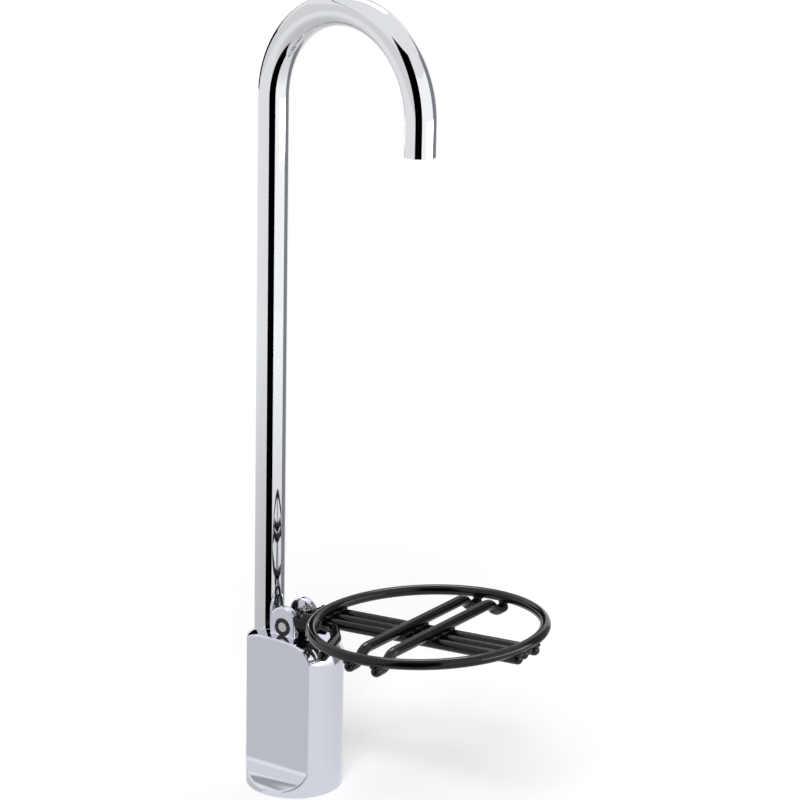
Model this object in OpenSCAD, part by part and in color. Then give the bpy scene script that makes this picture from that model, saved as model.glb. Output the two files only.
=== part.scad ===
/* [Body] */
// Radius of the round body
body_r = 25.4; // [23:0.2:28]
// Height of the crown of the domed top above the deck
crown_z = 84.3; // [76:0.1:96]
// Radius of the shallow dome that forms the crown
dome_r = 110; // [90:5:160]
// Radius of the rounded front shoulder
shoulder_r = 13; // [8:0.5:16]
// How far behind the body axis the shoulder's own axis lies
hood_shift = 3; // [1:0.5:6]
// Distance of each side flat from the body axis
flat_y = 15.4; // [14:0.1:19]
// Height of the crease where a flat turns into its scoop
crease_z = 13.7; // [10:0.1:20]
// Height of the foot's lip under the scoop
lip_z = 2.7; // [2:0.1:5]

/* [Hinge] */
// Pivot pin axis, along X from the inlet
pin_x = -8.5; // [-10:0.5:-8]
// Pivot pin axis, height above the deck
pin_z = 88.6; // [87.5:0.1:100]
// Radius of the pivot pin
pin_r = 2; // [1.5:0.25:2.5]
// Thickness of each hinge lug
lug_t = 4; // [3:0.25:5]
// Gap between the two lugs
lug_gap = 13; // [12:0.5:14]
// Half width of a lug, which is the radius of its round top
lug_r = 7.5; // [6.5:0.25:7.75]
// Height of a lug above the pin axis
lug_rise = 10.8; // [9:0.2:13]
// Depth of the recess for the pin head
recess_t = 1.4; // [1:0.1:2]
// Radius of the pin head
head_r = 3.5; // [3:0.1:4]
// Gap round the pin head in its recess
head_gap = 1.2; // [0.6:0.1:1.5]
// Thickness of a hinge washer
washer_t = 0.8; // [0.5:0.1:1]

/* [Rack] */
// Upward slope of the rack at rest, in degrees
rest_tilt = 3.4; // [1:0.1:6]
// Radius of the coated wire
wire_r = 2.75; // [2:0.05:3]
// Centre-line radius of the rack's ring
ring_r = 59.2; // [50:0.2:70]
// Distance from the pivot to the ring's centre
ring_x = 84.6; // [84.4:0.1:100]
// Height of the ring above the pivot, square to the rack
ring_rise = 11.8; // [11:0.1:14]
// Spacing of the three long arm wires
arm_pitch = 7.8; // [6.5:0.1:9]
// Spacing of the two cross wires
cross_pitch = 16; // [12:0.5:24]
// Bend radius of the cross wires and the brace
bend_r = 8; // [6:0.5:10]

/* [Lever hub] */
// Radius of the hub's barrel round the pin
barrel_r = 5; // [4.5:0.1:5.5]
// Distance from the pivot to the hub's front end
hub_len = 22; // [20:0.5:24]
// Thickness of the plate that carries the arm wires
hub_plate_t = 4.8; // [4:0.2:5.5]

/* [Spout] */
// Outside diameter of the spout tube, 5/8 inch
tube_d = 15.9; // [14:0.1:16]
// Wall of the spout tube
tube_wall = 1.2; // [0.8:0.1:1.5]
// Distance of the tube's axis behind the inlet
tube_back = 24.5; // [24.4:0.1:24.7]
// Height above the deck at which the bend starts
spring_z = 363.8; // [300:1:420]
// Centre-line radius of the bend
gooseneck_r = 48.8; // [35:0.5:60]
// Straight outlet below the bend
outlet_leg = 16; // [8:1:40]
// Angle that the spout is turned from the rack's line, in degrees
spout_turn = -7.4; // [-15:0.2:15]
// Length of the nipple inside the tube
nipple_up = 14; // [8:1:20]
// Length of the nipple inside the body
nipple_down = 20; // [16:1:24]
// Wall of the nipple
nipple_wall = 1.3; // [1:0.1:1.8]

/* [Valve] */
// Distance of the body axis behind the inlet and the valve stem
body_back = 7.5; // [7.3:0.1:7.7]
// Radius of the valve stem
stem_r = 2; // [1.5:0.1:2.2]
// Radius of the inlet's threaded hole, 1/2 inch pipe
inlet_r = 9.3; // [9:0.1:9.6]
// Depth of the inlet's threaded hole
inlet_len = 15; // [12:1:16]
// Radius of the valve chamber above the inlet
chamber_r = 8.5; // [8:0.1:8.8]
// Height of the valve seat's lower face
seat_z = 44; // [42:0.5:48]
// Radius of the water way through the seat
seat_bore_r = 4.5; // [3.8:0.1:5]
// Free turns of the closing spring
spring_turns = 6; // [4:1:8]
// Radius of the spring's wire
spring_wire_r = 0.6; // [0.4:0.05:0.8]

/* [Hidden] */
$fn = 96;
chrome = [0.78, 0.79, 0.82];
black = [0.05, 0.05, 0.06];
brass = [0.78, 0.62, 0.32];
rubber = [0.1, 0.1, 0.1];
steel = [0.66, 0.67, 0.69];
// Clearances: turning fits, parts pushed together, and cuts that run past a face
run_gap = 0.05;
fit_gap = 0.02;
over = 1;
// Domed top: the shoulder is an arc that meets the dome smoothly, a hair proud of it
hood_r = body_r + hood_shift;
dome_z = crown_z - dome_r;
shoulder_x = hood_r - shoulder_r;
shoulder_proud = 0.01;
shoulder_z = dome_z + sqrt(pow(dome_r - shoulder_r + shoulder_proud, 2) - pow(shoulder_x, 2));
// Scoop: the arc runs from the crease to the lip, and its sagitta sets its radius
scoop_run = body_r - flat_y;
scoop_drop = crease_z - lip_z;
scoop_chord = sqrt(pow(scoop_run, 2) + pow(scoop_drop, 2));
scoop_sag = 1.8;
scoop_r = pow(scoop_chord, 2) / (8 * scoop_sag) + scoop_sag / 2;
scoop_reach = (scoop_r - scoop_sag) / scoop_chord;
scoop_y = flat_y + scoop_run / 2 + scoop_drop * scoop_reach;
scoop_z = (crease_z + lip_z) / 2 + scoop_run * scoop_reach;
// Foot gasket in a groove of the base, flush with the deck
gasket_inset = 2;
gasket_w = 3.2;
gasket_r = body_r - gasket_inset;
gasket_hole_r = gasket_r - gasket_w;
gasket_t = 1.6;
// Spout seat and bores
tube_r = tube_d / 2;
tube_bore_r = tube_r - tube_wall;
tube_seat_depth = 4.1;
tube_seat_z = crown_z - tube_seat_depth;
spout_ring_r = 0.8;
nipple_r = tube_bore_r - fit_gap;
nipple_z = tube_seat_z - nipple_down;
passage_rise = 8;
passage_z = seat_z + passage_rise;
passage_r = 4;
riser_r = 5;
// Water ways and guide bore over the seat
seat_ring_t = 3;
upper_r = 6.5;
bush_r = 4.5;
bush_rise = 2;
bush_z = passage_z + passage_r + bush_rise;
bush_len = 10;
stem_ring_r = 0.9;
stem_ring_rise = 4;
stem_ring_z = bush_z + bush_len + stem_ring_rise;
// Hinge
lug_y = lug_gap / 2;
lug_out = lug_y + lug_t;
lug_top_z = pin_z + lug_rise;
lug_root = 8;
hub_w = lug_gap - 2 * (washer_t + run_gap);
hub_relief = 0.6;
relief_r = barrel_r + hub_relief;
washer_r = barrel_r - 0.2;
pin_tail = 2.2;
clip_w = 1.8;
clip_t = 0.9;
// Rack, in its own frame: X along the arm, Z square to it, zero on the pivot
arm_rise = ring_rise - 2 * wire_r;
arm_seat = 9;
arm_start = hub_len - arm_seat;
arm_short = 1.2;
dip_turn = acos(1 - wire_r / bend_r);
dip_run = 2 * bend_r * sin(dip_turn);
arc_cuts = 6;
cap_cuts = 3;
wire_sides = 16;
foot_len = 4;
hub_plate_rim = 0.8;
hub_plate_w = 2 * (arm_pitch + wire_r + hub_plate_rim);
hub_plate_gap = 1.1;
hub_under_z = arm_rise - hub_plate_t;
// Brace: along the arm wire, out at two turns, and on until it lies under the ring
brace_start = 4;
brace_lead = 2;
brace_run = 12;
brace_turn = 50;
brace_end_turn = 18;
// Ball end of the adjusting screw over the stem
ball_r = 1.8;
ball_rise = -1.1;
ball_neck = 0.5;
pocket_r = stem_r + 0.8;
socket_r = 1.1;
socket_depth = 2;
screw_x = (-pin_x + ball_rise * sin(rest_tilt)) / cos(rest_tilt);
screw_r = 2;
screw_proud = 3.4;
screw_up = arm_rise + screw_proud;
nut_t = 2.4;
nut_r = 3.8;
stem_top_z = pin_z + screw_x * sin(rest_tilt) + ball_rise * cos(rest_tilt) - ball_r - run_gap;
// Moving valve parts under the seat
seat_washer_t = 2.5;
seat_washer_r = 6.8;
holder_t = 3;
holder_r = 7.2;
holder_z = seat_z - seat_washer_t - holder_t;
stem_nut_t = 2.5;
stem_nut_r = 3.9;
strainer_t = 1.5;
strainer_hole_r = 0.75;
strainer_pitch = 2.2;
retainer_t = 3.5;
retainer_bore_r = 4.2;
spring_seat_z = inlet_len + strainer_t + retainer_t;
spring_r = 5.6;

module rod(r, l) {
    cylinder(r = r, h = l);
}

module rod_x(r, l) {
    rotate([0, 90, 0]) rod(r, l);
}

module rod_y(r, from_y, to_y) {
    translate([0, from_y, 0]) rotate([-90, 0, 0]) rod(r, to_y - from_y);
}

module ring_y(r, hole_r, from_y, to_y) {
    difference() {
        rod_y(r, from_y, to_y);
        rod_y(hole_r, from_y - over, to_y + over);
    }
}

module sleeve(r, hole_r, l) {
    difference() {
        rod(r, l);
        translate([0, 0, -over]) rod(hole_r, l + 2 * over);
    }
}

module o_ring(centre_r, section_r) {
    rotate_extrude() translate([centre_r, 0]) circle(section_r, $fn = 24);
}

// Places along a bent wire as [point, heading]: each step is [straight, turn, bend radius]
function wire_places(steps, i = 0, p = [0, 0], h = 0) =
    i == len(steps) ? [] :
    let (s = steps[i],
        q = p + s[0] * [cos(h), sin(h)],
        side = sign(s[1]) * s[2],
        centre = q + side * [-sin(h), cos(h)],
        arc = s[1] == 0 ? [[q, h]] : [for (k = [0:arc_cuts])
            let (t = h + s[1] * k / arc_cuts) [centre - side * [-sin(t), cos(t)], t]])
    concat(arc, wire_places(steps, i + 1, arc[len(arc) - 1][0], h + s[1]));

// Round end of a wire: shrinking sections before its first place or after its last
function wire_cap(place, r, way) =
    [for (k = [1:cap_cuts]) let (a = way < 0 ? 84 * (cap_cuts + 1 - k) / cap_cuts : 84 * k / cap_cuts)
        [place[0] + way * r * sin(a) * [cos(place[1]), sin(place[1])], place[1], r * cos(a)]];

// A wire swept along straights and bends in its own XY plane, with round ends
module bent_wire(r, steps) {
    places = concat([[[0, 0], 0]], wire_places(steps));
    sections = concat(wire_cap(places[0], r, -1), [for (p = places) [p[0], p[1], r]],
        wire_cap(places[len(places) - 1], r, 1));
    last = len(sections) - 1;
    points = [for (s = sections, j = [0:wire_sides - 1]) let (b = j * 360 / wire_sides)
        [s[0][0] - s[2] * cos(b) * sin(s[1]), s[0][1] + s[2] * cos(b) * cos(s[1]), s[2] * sin(b)]];
    sides = [for (i = [0:last - 1], j = [0:wire_sides - 1]) let (k = (j + 1) % wire_sides)
        [wire_sides * i + j, wire_sides * i + k, wire_sides * (i + 1) + k, wire_sides * (i + 1) + j]];
    ends = [[for (j = [wire_sides - 1:-1:0]) j], [for (j = [0:wire_sides - 1]) wire_sides * last + j]];
    polyhedron(points, concat(sides, ends));
}

// Half outline of the domed top, which turns about the hood's own axis
module hood_outline() {
    tangent = [shoulder_x, shoulder_z - dome_z] / (dome_r - shoulder_r);
    reach = dome_r + 2 * over;
    difference() {
        intersection() {
            translate([0, dome_z]) circle(dome_r, $fn = 360);
            square([hood_r, crown_z + over]);
        }
        difference() {
            polygon([[shoulder_x, shoulder_z],
                [hood_r + over, shoulder_z],
                [hood_r + over, crown_z + 2 * over],
                [tangent[0] * reach, dome_z + tangent[1] * reach]]);
            translate([shoulder_x, shoulder_z]) circle(shoulder_r);
        }
    }
}

// Section of the cut beside the body: a flat wall that ends in a hollow over the lip
module scoop_outline() {
    intersection() {
        translate([flat_y, 0]) square([body_r, crown_z + over]);
        union() {
            translate([scoop_y, scoop_z]) circle(scoop_r);
            translate([0, scoop_z]) square([2 * body_r, crown_z]);
        }
    }
}

module side_cut() {
    translate([-body_back - body_r - over, 0, 0]) rotate([90, 0, 90])
        linear_extrude(2 * (body_r + over)) scoop_outline();
}

module lug_outline() {
    translate([pin_x, lug_top_z - lug_r]) circle(lug_r);
    translate([pin_x - lug_r, crown_z - lug_root])
        square([2 * lug_r, lug_top_z - lug_r - crown_z + lug_root]);
}

module lugs() {
    for (side = [-1, 1])
        translate([0, side > 0 ? lug_out : -lug_y, 0]) rotate([90, 0, 0])
            linear_extrude(lug_t) lug_outline();
}

module body_blank() {
    translate([-body_back, 0, 0]) intersection() {
        rod(body_r, crown_z + over);
        translate([-hood_shift, 0, 0]) rotate_extrude() hood_outline();
    }
}

module water_ways() {
    translate([0, 0, -over]) rod(inlet_r, inlet_len + over);
    rod(chamber_r, seat_z + seat_ring_t);
    rod(upper_r, bush_z);
    rod(bush_r, bush_z + bush_len);
    rod(stem_r + run_gap, crown_z + over);
    translate([0, 0, stem_ring_z]) o_ring(stem_r + stem_ring_r, stem_ring_r);
    translate([-tube_back, 0, passage_z]) {
        rod_x(passage_r, tube_back);
        translate([0, 0, -riser_r]) rod(riser_r, nipple_z - passage_z + riser_r + over);
    }
    translate([-tube_back, 0, nipple_z]) rod(nipple_r + fit_gap, nipple_down + over);
}

module tube_seat() {
    seat_r = tube_r + fit_gap;
    translate([-tube_back, 0, tube_seat_z]) {
        rod(seat_r, crown_z);
        translate([-body_r, -seat_r, 0]) cube([body_r, 2 * seat_r, crown_z]);
    }
}

module body() {
    color(chrome) difference() {
        union() {
            difference() {
                body_blank();
                side_cut();
                mirror([0, 1, 0]) side_cut();
                tube_seat();
            }
            lugs();
        }
        translate([pin_x, 0, pin_z]) {
            rod_y(relief_r, -lug_y, lug_y);
            rod_y(pin_r + run_gap, -lug_out - over, lug_out + over);
            rod_y(head_r + head_gap, -lug_out - over, -lug_out + recess_t);
        }
        water_ways();
        translate([-body_back, 0, -over]) sleeve(gasket_r, gasket_hole_r, gasket_t + over);
    }
}

module base_gasket() {
    color(rubber) translate([-body_back, 0, 0])
        sleeve(gasket_r - fit_gap, gasket_hole_r + fit_gap, gasket_t);
}

module seat_ring() {
    color(brass) translate([0, 0, seat_z])
        sleeve(chamber_r - fit_gap, seat_bore_r, seat_ring_t);
}

module stem_bush() {
    color(brass) translate([0, 0, bush_z])
        sleeve(bush_r - fit_gap, stem_r + run_gap, bush_len);
}

module stem_o_ring() {
    color(rubber) translate([0, 0, stem_ring_z])
        o_ring(stem_r + stem_ring_r, stem_ring_r - run_gap);
}

module spring_retainer() {
    color(brass) translate([0, 0, inlet_len + strainer_t])
        sleeve(chamber_r - fit_gap, retainer_bore_r, retainer_t);
}

module inlet_strainer() {
    color(steel) translate([0, 0, inlet_len]) difference() {
        rod(chamber_r - fit_gap, strainer_t);
        for (ring = [1:3], i = [0:6 * ring - 1])
            rotate([0, 0, i * 60 / ring]) translate([strainer_pitch * ring, 0, -over])
                rod(strainer_hole_r, strainer_t + 2 * over, $fn = 16);
    }
}

module spout_path(r) {
    rod(r, spring_z - tube_seat_z);
    translate([0, 0, spring_z - tube_seat_z]) rotate([90, 0, 0])
        translate([gooseneck_r, 0, 0]) rotate_extrude(angle = 180)
            translate([gooseneck_r, 0]) circle(r, $fn = 96);
    translate([2 * gooseneck_r, 0, spring_z - tube_seat_z - outlet_leg]) rod(r, outlet_leg);
}

module spout_tube() {
    color(chrome) translate([-tube_back, 0, tube_seat_z]) rotate([0, 0, spout_turn]) difference() {
        spout_path(tube_r);
        spout_path(tube_bore_r);
    }
}

module spout_nipple() {
    color(brass) translate([-tube_back, 0, nipple_z]) difference() {
        rod(nipple_r, nipple_down + nipple_up);
        translate([0, 0, -over]) rod(nipple_r - nipple_wall, nipple_down + nipple_up + 2 * over);
        translate([0, 0, nipple_down / 2]) o_ring(nipple_r, spout_ring_r);
    }
}

module spout_o_ring() {
    color(rubber) translate([-tube_back, 0, nipple_z + nipple_down / 2]) intersection() {
        o_ring(nipple_r, spout_ring_r - fit_gap);
        translate([0, 0, -over]) rod(nipple_r, 2 * over);
    }
}

module pivot_pin() {
    color(steel) translate([pin_x, 0, pin_z]) {
        rod_y(pin_r, -lug_out, lug_out + pin_tail);
        rod_y(head_r, -lug_out, -lug_out + recess_t);
    }
}

module pin_clip() {
    color(steel) translate([pin_x, 0, pin_z])
        ring_y(pin_r + clip_w, pin_r + fit_gap, lug_out, lug_out + clip_t);
}

module hinge_washer(from_y) {
    color(steel) translate([pin_x, 0, pin_z])
        ring_y(washer_r, pin_r + run_gap, from_y, from_y + washer_t);
}

module hinge_washer_near() {
    hinge_washer(-lug_y);
}

module hinge_washer_far() {
    hinge_washer(lug_y - washer_t);
}

// Places its children in the rack's own frame
module rack_frame() {
    translate([pin_x, 0, pin_z]) rotate([0, -rest_tilt, 0]) children();
}

module web_outline() {
    circle(barrel_r);
    polygon([[-barrel_r * 0.7, barrel_r * 0.7],
        [barrel_r * 0.1, arm_rise],
        [hub_len, arm_rise],
        [hub_len, hub_under_z],
        [barrel_r * 0.4, -barrel_r * 0.91]]);
}

module lever_hub() {
    plate_x = lug_r + hub_plate_gap;
    color(black) rack_frame() difference() {
        union() {
            translate([0, hub_w / 2, 0]) rotate([90, 0, 0]) linear_extrude(hub_w) web_outline();
            translate([plate_x, -hub_plate_w / 2, hub_under_z])
                cube([hub_len - plate_x, hub_plate_w, hub_plate_t]);
        }
        rod_y(pin_r + run_gap, -lug_y, lug_y);
        for (y = [-arm_pitch, 0, arm_pitch])
            translate([arm_start, y, arm_rise]) rod_x(wire_r + fit_gap, hub_len);
        translate([screw_x, 0, -2 * barrel_r]) {
            rod(screw_r + fit_gap, 4 * barrel_r);
            rod(pocket_r, 2 * barrel_r + ball_rise);
        }
    }
}

module adjusting_screw() {
    color(steel) rack_frame() translate([screw_x, 0, ball_rise]) {
        sphere(ball_r, $fn = 48);
        rod(ball_r, ball_neck + fit_gap);
        translate([0, 0, ball_neck]) difference() {
            rod(screw_r, screw_up - ball_rise - ball_neck);
            translate([0, 0, screw_up - ball_rise - ball_neck - socket_depth])
                cylinder(r = socket_r, h = socket_depth + over, $fn = 6);
        }
    }
}

module lock_nut() {
    color(steel) rack_frame() translate([screw_x, 0, arm_rise]) difference() {
        cylinder(r = nut_r, h = nut_t, $fn = 6);
        translate([0, 0, -over]) rod(screw_r + fit_gap, nut_t + 2 * over);
    }
}

module rack_ring() {
    color(black) rack_frame() translate([ring_x, 0, ring_rise])
        rotate_extrude() translate([ring_r, 0]) circle(wire_r, $fn = 48);
}

module arm_rod(l) {
    rod_x(wire_r, l);
    translate([l, 0, 0]) sphere(wire_r);
}

module arm_wire(y, past_ring) {
    color(black) rack_frame() translate([arm_start, y, arm_rise])
        arm_rod(ring_x + ring_r + past_ring - arm_start);
}

module arm_wire_near() {
    arm_wire(-arm_pitch, -arm_short);
}

module arm_wire_middle() {
    arm_wire(0, -wire_r);
}

module arm_wire_far() {
    arm_wire(arm_pitch, -arm_short);
}

// A cross wire lies on the arm wires, and its two ends dip and pass under the ring
module cross_wire(x) {
    level = ring_r - 2 * wire_r - dip_run;
    color(black) rack_frame() translate([ring_x + x, -level - dip_run - foot_len, arm_rise])
        rotate([0, 0, 90]) rotate([90, 0, 0])
            bent_wire(wire_r, [[foot_len, dip_turn, bend_r], [0, -dip_turn, bend_r],
                [2 * level, -dip_turn, bend_r], [0, dip_turn, bend_r], [foot_len, 0, 0]]);
}

module cross_wire_inner() {
    cross_wire(-cross_pitch / 2);
}

module cross_wire_outer() {
    cross_wire(cross_pitch / 2);
}

// The brace leaves the near arm wire's side, turns outward twice and ends under the ring
module brace_near() {
    start = [brace_start - ring_r, arm_pitch + 2 * wire_r];
    bends = [[brace_lead, brace_turn, bend_r], [brace_run, brace_end_turn, bend_r]];
    places = wire_places(bends);
    leg = places[len(places) - 1];
    from = start + leg[0];
    way = [cos(leg[1]), sin(leg[1])];
    reach = sqrt(pow(from * way, 2) - from * from + pow(ring_r, 2)) - from * way;
    color(black) rack_frame() translate([ring_x, 0, arm_rise]) mirror([0, 1, 0])
        translate([start[0], start[1], 0]) bent_wire(wire_r, concat(bends, [[reach, 0, 0]]));
}

module valve_stem() {
    color(steel) translate([0, 0, holder_z - stem_nut_t]) rod(stem_r, stem_top_z - holder_z + stem_nut_t);
}

module washer_holder() {
    color(brass) translate([0, 0, holder_z]) sleeve(holder_r, stem_r + fit_gap, holder_t);
}

module seat_washer() {
    color(rubber) translate([0, 0, holder_z + holder_t])
        sleeve(seat_washer_r, stem_r + fit_gap, seat_washer_t);
}

module stem_nut() {
    color(brass) translate([0, 0, holder_z - stem_nut_t]) difference() {
        cylinder(r = stem_nut_r, h = stem_nut_t, $fn = 6);
        translate([0, 0, -over]) rod(stem_r + fit_gap, stem_nut_t + 2 * over);
    }
}

// Closing spring: an eight-sided wire swept along a helix
function spring_point(i, j, steps, height) =
    let (a = i * 360 * spring_turns / steps, b = j * 45, r = spring_r + spring_wire_r * cos(b))
    [r * cos(a), r * sin(a), spring_wire_r + i * height / steps + spring_wire_r * sin(b)];

module valve_spring() {
    steps = 24 * spring_turns;
    height = holder_z - spring_seat_z - 2 * spring_wire_r;
    points = [for (i = [0:steps], j = [0:7]) spring_point(i, j, steps, height)];
    sides = [for (i = [0:steps - 1], j = [0:7])
        [8 * i + j, 8 * i + 8 + j, 8 * i + 8 + (j + 1) % 8, 8 * i + (j + 1) % 8]];
    ends = [[for (j = [0:7]) j], [for (j = [7:-1:0]) 8 * steps + j]];
    color(steel) translate([0, 0, spring_seat_z]) polyhedron(points, concat(sides, ends));
}

body();
base_gasket();
seat_ring();
stem_bush();
stem_o_ring();
spring_retainer();
inlet_strainer();
spout_tube();
spout_nipple();
spout_o_ring();
pivot_pin();
pin_clip();
hinge_washer_near();
hinge_washer_far();
lever_hub();
adjusting_screw();
lock_nut();
rack_ring();
arm_wire_near();
arm_wire_middle();
arm_wire_far();
cross_wire_inner();
cross_wire_outer();
brace_near();
valve_stem();
washer_holder();
seat_washer();
stem_nut();
valve_spring();
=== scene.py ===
"""Deck-mounted glass filler: chrome body, gooseneck spout, black coated wire rack on a lever."""

import math

import bpy
from mathutils import Matrix, Vector


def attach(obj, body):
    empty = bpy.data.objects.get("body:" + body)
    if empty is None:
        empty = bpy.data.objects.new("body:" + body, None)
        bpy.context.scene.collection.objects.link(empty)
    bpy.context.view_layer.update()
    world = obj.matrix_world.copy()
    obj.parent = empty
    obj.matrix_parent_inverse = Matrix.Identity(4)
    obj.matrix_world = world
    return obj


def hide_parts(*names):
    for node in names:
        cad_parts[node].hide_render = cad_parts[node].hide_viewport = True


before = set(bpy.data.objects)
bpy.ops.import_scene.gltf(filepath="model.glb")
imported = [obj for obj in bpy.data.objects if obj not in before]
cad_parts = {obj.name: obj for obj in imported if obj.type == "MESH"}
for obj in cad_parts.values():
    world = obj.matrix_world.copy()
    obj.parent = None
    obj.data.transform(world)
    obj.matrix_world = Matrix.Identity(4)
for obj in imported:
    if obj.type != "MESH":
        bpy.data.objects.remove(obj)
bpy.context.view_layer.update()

MM = 0.001
WAVE_PERIOD = 0.314  # The wave texture's crests are this far apart at a scale of 1


# Colours, nodes and materials


def linear(hex_colour):
    """An sRGB hex colour as linear red, green, blue and alpha."""
    parts = [int(hex_colour[i : i + 2], 16) / 255 for i in (1, 3, 5)]
    return [c / 12.92 if c <= 0.04045 else ((c + 0.055) / 1.055) ** 2.4 for c in parts] + [1.0]


def add_node(tree, kind, values=None, links=None, **settings):
    """Adds a node with its own settings, its socket values and the outputs that feed it."""
    node = tree.nodes.new(kind)
    for name, setting in settings.items():
        setattr(node, name, setting)
    for socket, value in (values or {}).items():
        node.inputs[socket].default_value = value
    for socket, output in (links or {}).items():
        tree.links.new(output, node.inputs[socket])
    return node


def empty_material(name):
    """A new material and its node tree, without nodes."""
    material = bpy.data.materials.new(name)
    material.use_nodes = True
    material.node_tree.nodes.clear()
    return material, material.node_tree


def polished_chrome_plate(name, colour, edge_radius):
    """Chromium over bright nickel on buffed brass: a cold mirror, with the faint swell that the
    buffing wheel leaves, and edges that the wheel has rounded (edge_radius in metres)."""
    material, tree = empty_material(name)
    place = add_node(tree, "ShaderNodeTexCoord")
    # The wheel's swell is about 25 mm from crest to crest and a few thousandths high
    swell = add_node(tree, "ShaderNodeTexNoise", {"Scale": 1 / (25 * MM), "Detail": 1.0},
                     {"Vector": place.outputs["Object"]})
    edges = add_node(tree, "ShaderNodeBevel", {"Radius": edge_radius}, samples=8)
    surface = add_node(tree, "ShaderNodeBump", {"Strength": 0.25, "Distance": 0.05 * MM},
                       {"Height": swell.outputs["Fac"], "Normal": edges.outputs["Normal"]})
    metal = add_node(tree, "ShaderNodeBsdfPrincipled",
                     {"Base Color": linear(colour), "Metallic": 1.0, "Roughness": 0.04},
                     {"Normal": surface.outputs["Normal"]})
    add_node(tree, "ShaderNodeOutputMaterial", links={"Surface": metal.outputs["BSDF"]})
    return material


def black_dip_coating():
    """Black nylon dipped over welded steel wire: deep gloss black with a slight orange peel."""
    material, tree = empty_material("black nylon dip coating")
    place = add_node(tree, "ShaderNodeTexCoord")
    # Orange peel, 1.6 mm from crest to crest. The coat shines less than bare nylon
    peel = add_node(tree, "ShaderNodeTexNoise", {"Scale": 1 / (1.6 * MM), "Detail": 1.0},
                    {"Vector": place.outputs["Object"]})
    edges = add_node(tree, "ShaderNodeBevel", {"Radius": 0.8 * MM}, samples=8)
    surface = add_node(tree, "ShaderNodeBump", {"Strength": 0.25, "Distance": 0.06 * MM},
                       {"Height": peel.outputs["Fac"], "Normal": edges.outputs["Normal"]})
    coat = add_node(tree, "ShaderNodeBsdfPrincipled",
                    {"Base Color": linear("#060608"), "Roughness": 0.14, "IOR": 1.5,
                     "Specular IOR Level": 0.35},
                    {"Normal": surface.outputs["Normal"]})
    add_node(tree, "ShaderNodeOutputMaterial", links={"Surface": coat.outputs["BSDF"]})
    return material


def turned_brass():
    """Free-cutting brass off the lathe: warm yellow, with fine tool rings that blur the gloss."""
    material, tree = empty_material("turned brass")
    place = add_node(tree, "ShaderNodeTexCoord")
    # Tool rings 0.15 mm apart are drawn 0.4 mm apart, which is as fine as shows
    rings = add_node(tree, "ShaderNodeTexWave", {"Scale": WAVE_PERIOD / (0.4 * MM)},
                     {"Vector": place.outputs["Object"]}, bands_direction="Z")
    surface = add_node(tree, "ShaderNodeBump", {"Strength": 0.15, "Distance": 0.02 * MM},
                       {"Height": rings.outputs["Fac"]})
    metal = add_node(tree, "ShaderNodeBsdfPrincipled",
                     {"Base Color": linear("#D8B56A"), "Metallic": 1.0, "Roughness": 0.28},
                     {"Normal": surface.outputs["Normal"]})
    add_node(tree, "ShaderNodeOutputMaterial", links={"Surface": metal.outputs["BSDF"]})
    return material


def turned_stainless_steel():
    """Stainless steel off the lathe: neutral grey, satin, with fine tool rings round the pin."""
    material, tree = empty_material("turned stainless steel")
    place = add_node(tree, "ShaderNodeTexCoord")
    # Drawn 0.4 mm apart as well
    rings = add_node(tree, "ShaderNodeTexWave", {"Scale": WAVE_PERIOD / (0.4 * MM)},
                     {"Vector": place.outputs["Object"]}, bands_direction="Y")
    edges = add_node(tree, "ShaderNodeBevel", {"Radius": 0.25 * MM}, samples=6)
    surface = add_node(tree, "ShaderNodeBump", {"Strength": 0.1, "Distance": 0.02 * MM},
                       {"Height": rings.outputs["Fac"], "Normal": edges.outputs["Normal"]})
    metal = add_node(tree, "ShaderNodeBsdfPrincipled",
                     {"Base Color": linear("#C9C9CB"), "Metallic": 1.0, "Roughness": 0.2},
                     {"Normal": surface.outputs["Normal"]})
    add_node(tree, "ShaderNodeOutputMaterial", links={"Surface": metal.outputs["BSDF"]})
    return material


def moulded_rubber():
    """Black nitrile rubber out of the mould: dull charcoal with a fine grain."""
    material, tree = empty_material("moulded nitrile rubber")
    place = add_node(tree, "ShaderNodeTexCoord")
    # The mould's spark-eroded grain, 0.5 mm
    grain = add_node(tree, "ShaderNodeTexNoise", {"Scale": 1 / (0.5 * MM), "Detail": 2.0},
                     {"Vector": place.outputs["Object"]})
    surface = add_node(tree, "ShaderNodeBump", {"Strength": 0.3, "Distance": 0.05 * MM},
                       {"Height": grain.outputs["Fac"]})
    rubber = add_node(tree, "ShaderNodeBsdfPrincipled",
                      {"Base Color": linear("#161618"), "Roughness": 0.6, "IOR": 1.52},
                      {"Normal": surface.outputs["Normal"]})
    add_node(tree, "ShaderNodeOutputMaterial", links={"Surface": rubber.outputs["BSDF"]})
    return material


body_chrome = polished_chrome_plate("polished chrome plate, cast body", "#DCDEE9", 1.6 * MM)
tube_chrome = polished_chrome_plate("polished chrome plate, tube", "#DDDFE3", 0.3 * MM)
black_coating = black_dip_coating()
brass = turned_brass()
steel = turned_stainless_steel()
rubber = moulded_rubber()

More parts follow.
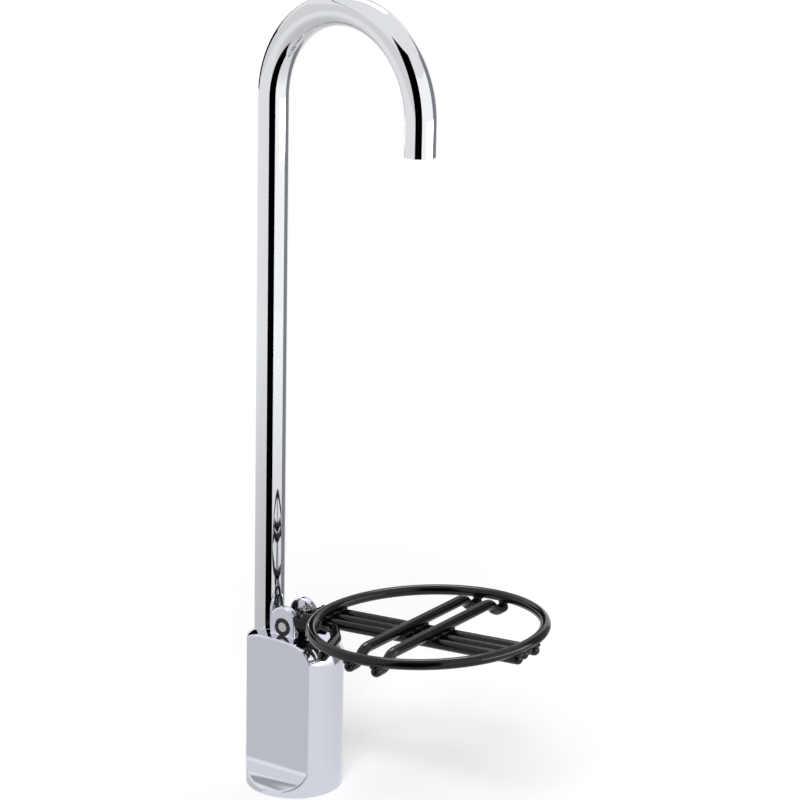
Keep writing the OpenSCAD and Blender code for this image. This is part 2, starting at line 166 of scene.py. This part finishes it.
FINISH = {
    "body": body_chrome, "spout_tube": tube_chrome,
    "lever_hub": black_coating, "rack_ring": black_coating, "arm_wire_near": black_coating,
    "arm_wire_middle": black_coating, "arm_wire_far": black_coating,
    "cross_wire_inner": black_coating, "cross_wire_outer": black_coating,
    "brace_near": black_coating,
    "seat_ring": brass, "stem_bush": brass, "spring_retainer": brass, "spout_nipple": brass,
    "washer_holder": brass, "stem_nut": brass,
    "pivot_pin": steel, "pin_clip": steel, "hinge_washer_near": steel,
    "hinge_washer_far": steel, "adjusting_screw": steel, "lock_nut": steel,
    "inlet_strainer": steel, "valve_stem": steel, "valve_spring": steel,
    "base_gasket": rubber, "stem_o_ring": rubber, "spout_o_ring": rubber, "seat_washer": rubber,
}
for name, material in FINISH.items():
    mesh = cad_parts[name].data
    mesh.materials.clear()
    mesh.materials.append(material)


# Rack: sizes in mm in its own frame, X along the arm, Z square to it, zero on the pivot pin

PIN = (-8.5, 0, 88.6)  # The pivot pin's axis, from the inlet
REST_TILT = math.radians(3.4)  # Upward slope at rest
WIRE = 2.75  # Radius of the coated wire
RING_R = 59.2  # The ring's centre line
RING_X = 84.6  # The ring's centre, from the pin
RING_RISE = 11.8
ARM_RISE = RING_RISE - 2 * WIRE
ARM_PITCH = 7.8
ARM_WIRES = (-ARM_PITCH, 0, ARM_PITCH)
CROSS_PITCH = 16
CROSS_WIRES = (-CROSS_PITCH / 2, CROSS_PITCH / 2)
BEND = 8  # Bend radius of the cross wires and the brace
DIP_TURN = math.acos(1 - WIRE / BEND)  # A cross wire dips by its own thickness before the ring
DIP_RUN = 2 * BEND * math.sin(DIP_TURN)
FOOT = 4  # Straight end under the ring
LEVEL = RING_R - 2 * WIRE - DIP_RUN
CAP_TURN = math.radians(88)  # A round end stops just short of its tip, at a small flat

rack_place = (Matrix.Translation([MM * c for c in PIN])
              @ Matrix.Rotation(-REST_TILT, 4, "Y") @ Matrix.Scale(MM, 4))


def wire_path(start, along, across, steps, cuts=12):
    """Points and headings of a bent wire. Each step is a straight, then a turn on the bend
    radius."""
    point, heading, path = Vector(start), 0.0, []
    along, across = Vector(along), Vector(across)

    def direction(angle):
        return along * math.cos(angle) + across * math.sin(angle)

    path.append((point.copy(), direction(heading)))
    for straight, turn in steps:
        point = point + straight * direction(heading)
        if not turn:
            path.append((point.copy(), direction(heading)))
            continue
        side = math.copysign(BEND, turn)
        centre = point + side * direction(heading + math.pi / 2)
        for k in range(cuts + 1):
            angle = heading + turn * k / cuts
            path.append((centre - side * direction(angle + math.pi / 2), direction(angle)))
        heading += turn
        point = path[-1][0]
    return path


def mesh_piece(name, points, faces, material, body):
    """A smooth mesh piece that moves with a body. Points are metres in the part's frame."""
    mesh = bpy.data.meshes.new(name)
    mesh.from_pydata([tuple(p) for p in points], [], faces)
    mesh.polygons.foreach_set("use_smooth", [True] * len(mesh.polygons))
    mesh.materials.append(material)
    mesh.update()
    piece = bpy.data.objects.new(name, mesh)
    bpy.context.scene.collection.objects.link(piece)
    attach(piece, body)
    return piece


def round_wire(name, path, flat_normal, sides=24, caps=6):
    """A coated wire of round section along a path that lies in one plane, with round ends."""
    normal = Vector(flat_normal)
    first, last = path[0], path[-1]
    sections = []
    for k in range(caps):
        a = CAP_TURN * (caps - k) / caps
        sections.append((first[0] - first[1] * WIRE * math.sin(a), first[1], WIRE * math.cos(a)))
    sections += [(p, d, WIRE) for p, d in path]
    for k in range(1, caps + 1):
        a = CAP_TURN * k / caps
        sections.append((last[0] + last[1] * WIRE * math.sin(a), last[1], WIRE * math.cos(a)))
    points = []
    for centre, heading, radius in sections:
        side = normal.cross(heading)
        for j in range(sides):
            b = 2 * math.pi * j / sides
            rim = math.cos(b) * side + math.sin(b) * normal
            points.append(rack_place @ (centre + radius * rim))
    faces = [(sides * i + j, sides * i + (j + 1) % sides,
              sides * (i + 1) + (j + 1) % sides, sides * (i + 1) + j)
             for i in range(len(sections) - 1) for j in range(sides)]
    faces.append(tuple(reversed(range(sides))))
    faces.append(tuple(range(sides * (len(sections) - 1), sides * len(sections))))
    return mesh_piece(name, points, faces, black_coating, "rack")


dips = [(FOOT, DIP_TURN), (0, -DIP_TURN), (2 * LEVEL, -DIP_TURN), (0, DIP_TURN), (FOOT, 0)]
for node, offset in zip(("cross_wire_inner", "cross_wire_outer"), CROSS_WIRES):
    start = (RING_X + offset, -LEVEL - DIP_RUN - FOOT, ARM_RISE)
    wire = round_wire(node + "_bent", wire_path(start, (0, 1, 0), (0, 0, 1), dips), (1, 0, 0))
    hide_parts(node)

# The brace lies along the near arm wire, turns outward twice and ends under the ring
BRACE_LEAD, BRACE_TURN = 2, math.radians(50)
BRACE_RUN, BRACE_END_TURN = 12, math.radians(18)
BRACE_START = 4  # Inside the ring's centre line
brace_bends = [(BRACE_LEAD, BRACE_TURN), (BRACE_RUN, BRACE_END_TURN)]
brace_start = Vector((BRACE_START - RING_R, ARM_PITCH + 2 * WIRE, 0))
corner, way = wire_path(brace_start, (1, 0, 0), (0, 1, 0), brace_bends)[-1]
reach = math.sqrt(corner.dot(way) ** 2 - corner.dot(corner) + RING_R ** 2) - corner.dot(way)
brace = round_wire(
    "brace_near_bent",
    wire_path((RING_X + brace_start.x, -brace_start.y, ARM_RISE), (1, 0, 0), (0, -1, 0),
              brace_bends + [(reach, 0)]),
    (0, 0, -1))
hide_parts("brace_near")


CROSS_BEAD = (2.7, 2.7, 1.5)  # Half length, half width and height of each kind of bead
FOOT_BEAD = (3.0, 2.4, 1.5)
RING_BEAD = (2.6, 2.8, 1.5)
TOUCH = ARM_RISE + WIRE  # Where crossing wires touch


def weld_bead(name, x, y, size, rows=8, columns=16):
    """Weld metal between two touching wires, drowned in the coating: a low lump along one wire."""
    length, width, height = size
    points = []
    for i in range(rows + 1):
        v = math.pi * i / rows
        for j in range(columns):
            h = 2 * math.pi * j / columns
            local = Vector((length * math.sin(v) * math.cos(h), width * math.sin(v) * math.sin(h),
                            height * math.cos(v)))
            points.append(rack_place @ (Vector((x, y, TOUCH)) + local))
    faces = []
    for i in range(rows):
        for j in range(columns):
            k = (j + 1) % columns
            faces.append((columns * i + j, columns * (i + 1) + j,
                          columns * (i + 1) + k, columns * i + k))
    piece = mesh_piece(name, points, faces, black_coating, "rack")


for i, offset in enumerate(CROSS_WIRES):
    for j, y in enumerate(ARM_WIRES):
        weld_bead(f"cross_weld_{i}_{j}", RING_X + offset, y, CROSS_BEAD)
    for j, side in enumerate((-1, 1)):
        reach = math.sqrt(RING_R ** 2 - offset ** 2)
        weld_bead(f"foot_weld_{i}_{j}", RING_X + offset, side * reach, FOOT_BEAD)
for j, y in enumerate(ARM_WIRES):
    reach = math.sqrt(RING_R ** 2 - y ** 2)
    weld_bead(f"ring_weld_inner_{j}", RING_X - reach, y, RING_BEAD)
    weld_bead(f"ring_weld_outer_{j}", RING_X + reach, y, RING_BEAD)


# Painted shade: a black ring in the rubber finish, in the near lug's recess round the end of the
# pivot pin, that darkens the gap round the pin's head where there is only shade

SHADE_RING_FACE = -10.65  # Just proud of the lug's outer face
SHADE_RING_INNER, SHADE_RING_OUTER = 2.35, 4.65
SHADE_RING_DEPTH = 1.5
SHADE_RING_EDGE = 0.3


def shade_ring_round_pin(name, sides=64):
    """A flat ring of painted shade on the pin's axis with bevelled edges, from its face back into
    the recess.
    """
    inner, outer = SHADE_RING_INNER, SHADE_RING_OUTER
    depth, edge = SHADE_RING_DEPTH, SHADE_RING_EDGE
    profile = [(inner, depth), (inner, edge), (inner + edge, 0), (outer - edge, 0), (outer, edge),
               (outer, depth)]
    points = [((PIN[0] + radius * math.cos(2 * math.pi * j / sides)) * MM,
               (SHADE_RING_FACE + back) * MM,
               (PIN[2] + radius * math.sin(2 * math.pi * j / sides)) * MM)
              for radius, back in profile for j in range(sides)]
    rows = len(profile)
    faces = [(sides * i + j, sides * ((i + 1) % rows) + j,
              sides * ((i + 1) % rows) + (j + 1) % sides, sides * i + (j + 1) % sides)
             for i in range(rows) for j in range(sides)]
    # The black rubber finish gives this ring its colour only: the ring is painted shade in the
    # recess
    return mesh_piece(name, points, faces, rubber, "valve")


pin_shade_ring = shade_ring_round_pin("pin_recess_shade_ring")


# Camera, at the photograph's place: position in mm and the picture's own axes

CAMERA_MM = (839.6, -1162.5, 624.7)
FORWARD = Vector((-0.53742, 0.79653, -0.27699))
RIGHT = Vector((0.82559, 0.56393, 0.01986))
UP = Vector((-0.17202, 0.21801, 0.96067))
SENSOR = 36  # mm
FOCAL_PIXELS, FRAME_PIXELS = 2931, 800

camera_data = bpy.data.cameras.new("camera")
camera_data.sensor_width = SENSOR
camera_data.lens = SENSOR * FOCAL_PIXELS / FRAME_PIXELS
camera_data.clip_start, camera_data.clip_end = 0.05, 60
camera = bpy.data.objects.new("camera", camera_data)
camera.matrix_world = Matrix((
    (RIGHT.x, UP.x, -FORWARD.x, CAMERA_MM[0] * MM),
    (RIGHT.y, UP.y, -FORWARD.y, CAMERA_MM[1] * MM),
    (RIGHT.z, UP.z, -FORWARD.z, CAMERA_MM[2] * MM),
    (0, 0, 0, 1)))
bpy.context.scene.collection.objects.link(camera)
bpy.context.scene.camera = camera


# Stage: plain pale floor, soft light, and boards that only metal and gloss see. Sizes in mm

SPOUT_X = -24.5  # The boards stand round the spout tube
CAMERA_BEARING = math.atan2(CAMERA_MM[1], CAMERA_MM[0] - SPOUT_X)
TABLE_Z = 0.2
NEAR_TABLE = (10, 235)  # What the body shows
FAR_TABLE = (235, 1000)  # What the tube shows
ROOM = 1000  # Distance of the boards
LEFT, GAP, RIGHT_SIDE, GREY_SIDE = (-140, -33), (-33, 13), (13, 98), (98, 140)  # Bearings
TABLE_SPLIT = -10  # Bearing where the near table turns brighter
DIM_FROM, DIM_STEP, DIM_STEPS = 62, 14, 8  # Bearings of the sectors that dim to the right
FLOOR_R = 9000
DISC_SIDES, LEAF_SIDES = 96, 48


def glowing_card(name, hex_colour, glow):
    """White, grey or black board with an even glow."""
    material, tree = empty_material(name)
    even = add_node(tree, "ShaderNodeEmission", {"Color": linear(hex_colour), "Strength": glow})
    add_node(tree, "ShaderNodeOutputMaterial", links={"Surface": even.outputs["Emission"]})
    return material


def fading_card(name, hex_colour, near_glow, far_glow, near, far):
    """White board. Its glow changes with the distance from the inlet, given in mm."""
    material, tree = empty_material(name)
    place = add_node(tree, "ShaderNodeTexCoord")
    distance = add_node(tree, "ShaderNodeVectorMath", links={0: place.outputs["Object"]},
                        operation="LENGTH")
    ramp = add_node(tree, "ShaderNodeMapRange",
                    {"From Min": near * MM, "From Max": far * MM,
                     "To Min": near_glow, "To Max": far_glow},
                    {"Value": distance.outputs["Value"]}, interpolation_type="SMOOTHSTEP")
    glow = add_node(tree, "ShaderNodeEmission", {"Color": linear(hex_colour)},
                    {"Strength": ramp.outputs["Result"]})
    add_node(tree, "ShaderNodeOutputMaterial", links={"Surface": glow.outputs["Emission"]})
    return material


def seen_rays(tree):
    """1 for what the camera, polished metal or glass sees, and 0 for light that falls on matt
    things."""
    rays = add_node(tree, "ShaderNodeLightPath")
    first = add_node(tree, "ShaderNodeMath", operation="MAXIMUM",
                     links={0: rays.outputs["Is Camera Ray"], 1: rays.outputs["Is Glossy Ray"]})
    both = add_node(tree, "ShaderNodeMath", operation="MAXIMUM",
                    links={0: first.outputs["Value"], 1: rays.outputs["Is Transmission Ray"]})
    return both.outputs["Value"]


def pale_floor():
    """Smooth matt paper: a near-white that takes a soft shadow. What is seen of it is lifted a
    little, so that it meets the white room."""
    material, tree = empty_material("pale matt paper")
    paper = add_node(tree, "ShaderNodeBsdfPrincipled",
                     {"Base Color": linear("#F6F6F7"), "Roughness": 0.9, "IOR": 1.45})
    lift = add_node(tree, "ShaderNodeMath", {1: 0.19}, {0: seen_rays(tree)}, operation="MULTIPLY")
    glow = add_node(tree, "ShaderNodeEmission", {"Color": linear("#FFFFFF")},
                    {"Strength": lift.outputs["Value"]})
    both = add_node(tree, "ShaderNodeAddShader", links={0: paper.outputs["BSDF"],
                                                        1: glow.outputs["Emission"]})
    add_node(tree, "ShaderNodeOutputMaterial", links={"Surface": both.outputs["Shader"]})
    return material


def stage_mesh(name, points, faces, material):
    """A stage object from points in metres."""
    mesh = bpy.data.meshes.new(name)
    mesh.from_pydata([tuple(p) for p in points], [], faces)
    mesh.materials.append(material)
    thing = bpy.data.objects.new(name, mesh)
    bpy.context.scene.collection.objects.link(thing)
    return thing


def only_in_reflections(card):
    """The board shows in polished metal and gloss, and neither lights nor shades anything."""
    card.visible_camera = False
    card.visible_diffuse = False
    card.visible_shadow = False
    card.visible_transmission = False


def bent_board(name, bearings, rims, material, steps=24):
    """A board bent round the spout between two rims, each a distance and a height in mm. Bearings
    are degrees from the camera's side, positive to the camera's right."""
    points = []
    for k in range(steps + 1):
        bearing = bearings[0] + (bearings[1] - bearings[0]) * k / steps
        angle = CAMERA_BEARING + math.radians(bearing)
        points += [((SPOUT_X + d * math.cos(angle)) * MM, d * math.sin(angle) * MM, z * MM)
                   for d, z in rims]
    faces = [(2 * k, 2 * k + 2, 2 * k + 3, 2 * k + 1) for k in range(steps)]
    only_in_reflections(stage_mesh(name, points, faces, material))


def standing_card(name, bearings, distance, heights, hex_colour, glow):
    """An upright board from one height to another."""
    bent_board(name, bearings, [(distance, z) for z in heights],
               glowing_card(name, hex_colour, glow))


def lying_card(name, bearings, distances, hex_colour, glow, height=TABLE_Z):
    """A level board from one distance to another."""
    bent_board(name, bearings, [(d, height) for d in distances],
               glowing_card(name, hex_colour, glow))


def fading_table(name, bearings, near_glow, far_glow):
    """The table beyond the body's own reflections, out to the boards."""
    bent_board(name, bearings, [(d, TABLE_Z) for d in FAR_TABLE],
               fading_card(name, "#FFFFFF", near_glow, far_glow, *FAR_TABLE))


floor_points = [(FLOOR_R * MM * math.cos(a), FLOOR_R * MM * math.sin(a), -0.1 * MM)
                for a in [2 * math.pi * k / DISC_SIDES for k in range(DISC_SIDES)]]
stage_mesh("floor", floor_points, [tuple(range(DISC_SIDES))], pale_floor())

# A pale table, less bright on the left than on the right, where it dims step by step
lying_card("table_left", (-180, TABLE_SPLIT), NEAR_TABLE, "#FFFFFF", 0.68)
lying_card("table_right", (TABLE_SPLIT, DIM_FROM), NEAR_TABLE, "#FFFFFF", 0.88)
for k in range(DIM_STEPS):
    sector = (DIM_FROM + DIM_STEP * k, DIM_FROM + DIM_STEP * (k + 1))
    lying_card(f"table_right_{k}", sector, NEAR_TABLE, "#FFFFFF", 0.86 - 0.025 * k)
fading_table("table_left_far", (-180, GAP[0]), 0.68, 1.0)
lying_card("table_gap", GAP, FAR_TABLE, "#000000", 0.0)
fading_table("table_right_far", RIGHT_SIDE, 0.88, 1.25)
lying_card("table_grey_far", GREY_SIDE, FAR_TABLE, "#8C8E92", 1.0)
fading_table("table_behind_far", (GREY_SIDE[1], 180), 0.8, 0.97)

# White boards left and right, a dark gap between them on the camera's side, a grey board far
# right, a dark one behind, and two lamps that give the wires their highlights
standing_card("white_board_left", LEFT, ROOM, (0, 270), "#FFFFFF", 0.98)
standing_card("pale_board_left", LEFT, ROOM, (270, 900), "#FFFFFF", 0.84)
standing_card("dark_gap", GAP, ROOM, (0, 1400), "#000000", 0.0)
standing_card("white_board_right", RIGHT_SIDE, ROOM, (0, 900), "#FFFFFF", 1.2)
standing_card("grey_board_far_right", GREY_SIDE, ROOM, (0, 900), "#8C8E92", 1.0)
standing_card("lamp_right", (46, 94), ROOM - 10, (140, 270), "#FFFFFF", 9.0)
lying_card("lamp_overhead", (145, 205), (380, 640), "#FFFFFF", 13.0, height=1050)
standing_card("dark_board_behind", (165, 225), ROOM - 100, (230, 500), "#000000", 0.0)

# A long dark bar high on the left with soft edges, which the scoops show as a dark oval: thin
# leaves one under the other, each smaller and darker than the one above
BAR_X, BAR_Y, BAR_Z = -716, -466, 1000
BAR_HALF_LENGTH, BAR_HALF_WIDTH = 580, 24
BAR_SLANT = 0.155
LEAF_DROP = 2
for leaf, (size, glow) in enumerate(((1.4, 0.82), (1.2, 0.68), (1.0, 0.55), (0.78, 0.42))):
    bar_points = []
    for k in range(LEAF_SIDES):
        a = 2 * math.pi * k / LEAF_SIDES
        along = BAR_HALF_LENGTH * size * math.sin(a)
        across = BAR_HALF_WIDTH * size * math.cos(a)
        bar_points.append(((BAR_X + across + BAR_SLANT * along) * MM, (BAR_Y + along) * MM,
                           (BAR_Z - LEAF_DROP * leaf) * MM))
    only_in_reflections(stage_mesh(f"dark_bar_{leaf}", bar_points, [tuple(range(LEAF_SIDES))],
                                   glowing_card(f"dark_bar_{leaf}", "#FFFFFF", glow)))

# A wide soft window high behind the camera, and a white room that lights matt things half as
# strongly as it looks
sun_data = bpy.data.lights.new("window_light", "SUN")
sun_data.energy = 1.7
sun_data.angle = math.radians(24)
sun = bpy.data.objects.new("window_light", sun_data)
sun.rotation_euler = (math.radians(38), math.radians(24), 0)
sun.visible_glossy = False
bpy.context.scene.collection.objects.link(sun)

world = bpy.data.worlds.new("white_room")
bpy.context.scene.world = world
world.use_nodes = True
room = world.node_tree
room.nodes.clear()
seen = add_node(room, "ShaderNodeBackground", {"Color": linear("#FFFFFF"), "Strength": 1.0})
light = add_node(room, "ShaderNodeBackground", {"Color": linear("#FFFFFF"), "Strength": 0.5})
split = add_node(room, "ShaderNodeMixShader", links={
    0: seen_rays(room), 1: light.outputs["Background"], 2: seen.outputs["Background"]})
add_node(room, "ShaderNodeOutputWorld", links={"Surface": split.outputs["Shader"]})

bpy.context.scene.view_settings.view_transform = "Standard"

bpy.context.view_layer.update()
